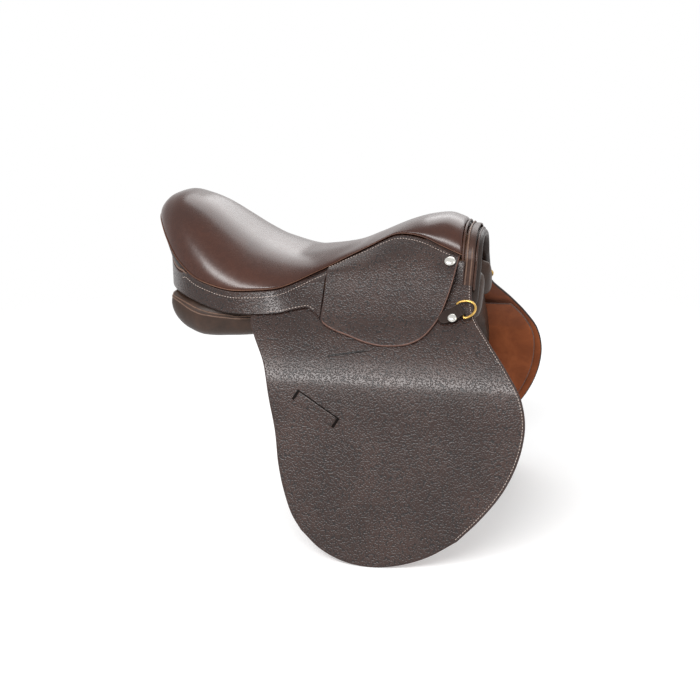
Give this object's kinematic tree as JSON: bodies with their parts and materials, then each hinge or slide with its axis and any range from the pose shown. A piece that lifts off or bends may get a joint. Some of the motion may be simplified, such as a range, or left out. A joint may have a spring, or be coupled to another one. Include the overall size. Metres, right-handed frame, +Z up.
{
  "type": "polo saddle",
  "caption": "Polo saddle with a smooth dipped leather seat, grained skirts and rounded flaps that lift, stuffed panels, a brass dee each side and a strap keeper in each flap.",
  "frame": {"origin": "on the ridge of the rack that carries the saddle, in the channel between the two panels, below the seat's dip", "axes": "+X forward to the pommel, +Y to the near (left) side, +Z up"},
  "size_m": [0.5689, 0.5352, 0.4741],
  "materials": {
    "seat_leather": "gloss",
    "grained_leather": "satin",
    "dark_leather": "satin",
    "panel_leather": "satin",
    "edge_leather": "matte",
    "strap_leather": "satin",
    "seat_foam": "matte",
    "jute_webbing": "matte",
    "beech_laminate": "satin",
    "forged_steel": "satin",
    "nickel": "polished",
    "brass": "polished"
  },
  "bodies": {
    "saddle": {"tree_frame": "beech_laminate", "head_plate": "forged_steel", "gullet_plate": "forged_steel", "tree_spring_left": "forged_steel", "tree_spring_right": "forged_steel", "seat_cover": "seat_leather", "seat_foam": "seat_foam", "seat_webbing": "jute_webbing", "pommel_facing": "grained_leather", "pommel_welt_rear": "grained_leather", "pommel_welt_front": "grained_leather", "rear_band_left": "grained_leather", "rear_band_right": "grained_leather", "cantle_facing_left": "dark_leather", "cantle_facing_right": "dark_leather", "cantle_welt_left": "edge_leather", "cantle_welt_right": "edge_leather", "skirt_top_left": "grained_leather", "skirt_top_right": "grained_leather", "flap_top_left": "grained_leather", "flap_top_right": "grained_leather", "girth_web_front_left": "jute_webbing", "girth_web_front_right": "jute_webbing", "girth_web_rear_left": "jute_webbing", "girth_web_rear_right": "jute_webbing", "sweat_flap_left": "grained_leather", "sweat_flap_right": "grained_leather", "point_pocket_left": "grained_leather", "point_pocket_right": "grained_leather", "panel_left": "panel_leather", "panel_right": "panel_leather", "stirrup_bar_left": "forged_steel", "stirrup_bar_right": "forged_steel", "bar_rivet_rear_left": "forged_steel", "bar_rivet_rear_right": "forged_steel", "bar_rivet_front_left": "forged_steel", "bar_rivet_front_right": "forged_steel", "dee_chape_left": "dark_leather", "dee_chape_right": "dark_leather", "lower_nail_left": "nickel", "lower_nail_right": "nickel", "upper_nail_left": "nickel", "upper_nail_right": "nickel"},
    "flap_left": {"flap_left": "grained_leather", "strap_keeper_left": "grained_leather"},
    "flap_right": {"flap_right": "grained_leather", "strap_keeper_right": "grained_leather"},
    "skirt_left": {"skirt_left": "grained_leather"},
    "skirt_right": {"skirt_right": "grained_leather"},
    "dee_left": {"dee_left": "brass"},
    "dee_right": {"dee_right": "brass"},
    "stirrup_catch_left": {"stirrup_catch_left": "forged_steel"},
    "stirrup_catch_right": {"stirrup_catch_right": "forged_steel"},
    "girth_strap_front_left": {"girth_strap_front_left": "strap_leather"},
    "girth_strap_front_right": {"girth_strap_front_right": "strap_leather"},
    "girth_strap_middle_left": {"girth_strap_middle_left": "strap_leather"},
    "girth_strap_middle_right": {"girth_strap_middle_right": "strap_leather"},
    "girth_strap_rear_left": {"girth_strap_rear_left": "strap_leather"},
    "girth_strap_rear_right": {"girth_strap_rear_right": "strap_leather"}
  },
  "joints": [
    {"name": "flap_lift_left", "type": "hinge", "parent": "saddle", "child": "flap_left", "pos_m": [0, 0.18519, -0.01919], "axis": [1, 0, 0], "range_deg": [0, 80]},
    {"name": "flap_lift_right", "type": "hinge", "parent": "saddle", "child": "flap_right", "pos_m": [0, -0.18519, -0.01919], "axis": [-1, 0, 0], "range_deg": [0, 80]},
    {"name": "skirt_lift_left", "type": "hinge", "parent": "saddle", "child": "skirt_left", "pos_m": [0, 0.10935, 0.0791], "axis": [1, 0, 0], "range_deg": [0, 60]},
    {"name": "skirt_lift_right", "type": "hinge", "parent": "saddle", "child": "skirt_right", "pos_m": [0, -0.10935, 0.0791], "axis": [-1, 0, 0], "range_deg": [0, 60]},
    {"name": "dee_swing_left", "type": "hinge", "parent": "saddle", "child": "dee_left", "pos_m": [0.18343, 0.13721, 0.0396], "axis": [-0.4695, -0.6392, 0.6091], "range_deg": [0, 110]},
    {"name": "dee_swing_right", "type": "hinge", "parent": "saddle", "child": "dee_right", "pos_m": [0.18343, -0.13721, 0.0396], "axis": [0.4695, -0.6392, -0.6091], "range_deg": [0, 110]},
    {"name": "catch_turn_left", "type": "hinge", "parent": "saddle", "child": "stirrup_catch_left", "pos_m": [0.0395, 0.11373, 0.06025], "axis": [0, 0.7071, 0.7071], "range_deg": [0, 70]},
    {"name": "catch_turn_right", "type": "hinge", "parent": "saddle", "child": "stirrup_catch_right", "pos_m": [0.0395, -0.11373, 0.06025], "axis": [0, 0.7071, -0.7071], "range_deg": [0, 70]},
    {"name": "strap_swing_front_left", "type": "hinge", "parent": "saddle", "child": "girth_strap_front_left", "pos_m": [0.095, 0.20552, -0.07595], "axis": [0, 0.971, 0.2389], "range_deg": [-3.5, 3.5]},
    {"name": "strap_swing_front_right", "type": "hinge", "parent": "saddle", "child": "girth_strap_front_right", "pos_m": [0.095, -0.20552, -0.07595], "axis": [0, -0.971, 0.2389], "range_deg": [-3.5, 3.5]},
    {"name": "strap_swing_middle_left", "type": "hinge", "parent": "saddle", "child": "girth_strap_middle_left", "pos_m": [0.043, 0.20552, -0.07595], "axis": [0, 0.971, 0.2389], "range_deg": [-3.5, 3.5]},
    {"name": "strap_swing_middle_right", "type": "hinge", "parent": "saddle", "child": "girth_strap_middle_right", "pos_m": [0.043, -0.20552, -0.07595], "axis": [0, -0.971, 0.2389], "range_deg": [-3.5, 3.5]},
    {"name": "strap_swing_rear_left", "type": "hinge", "parent": "saddle", "child": "girth_strap_rear_left", "pos_m": [-0.009, 0.20552, -0.07595], "axis": [0, 0.971, 0.2389], "range_deg": [-3.5, 3.5]},
    {"name": "strap_swing_rear_right", "type": "hinge", "parent": "saddle", "child": "girth_strap_rear_right", "pos_m": [-0.009, -0.20552, -0.07595], "axis": [0, -0.971, 0.2389], "range_deg": [-3.5, 3.5]}
  ]
}
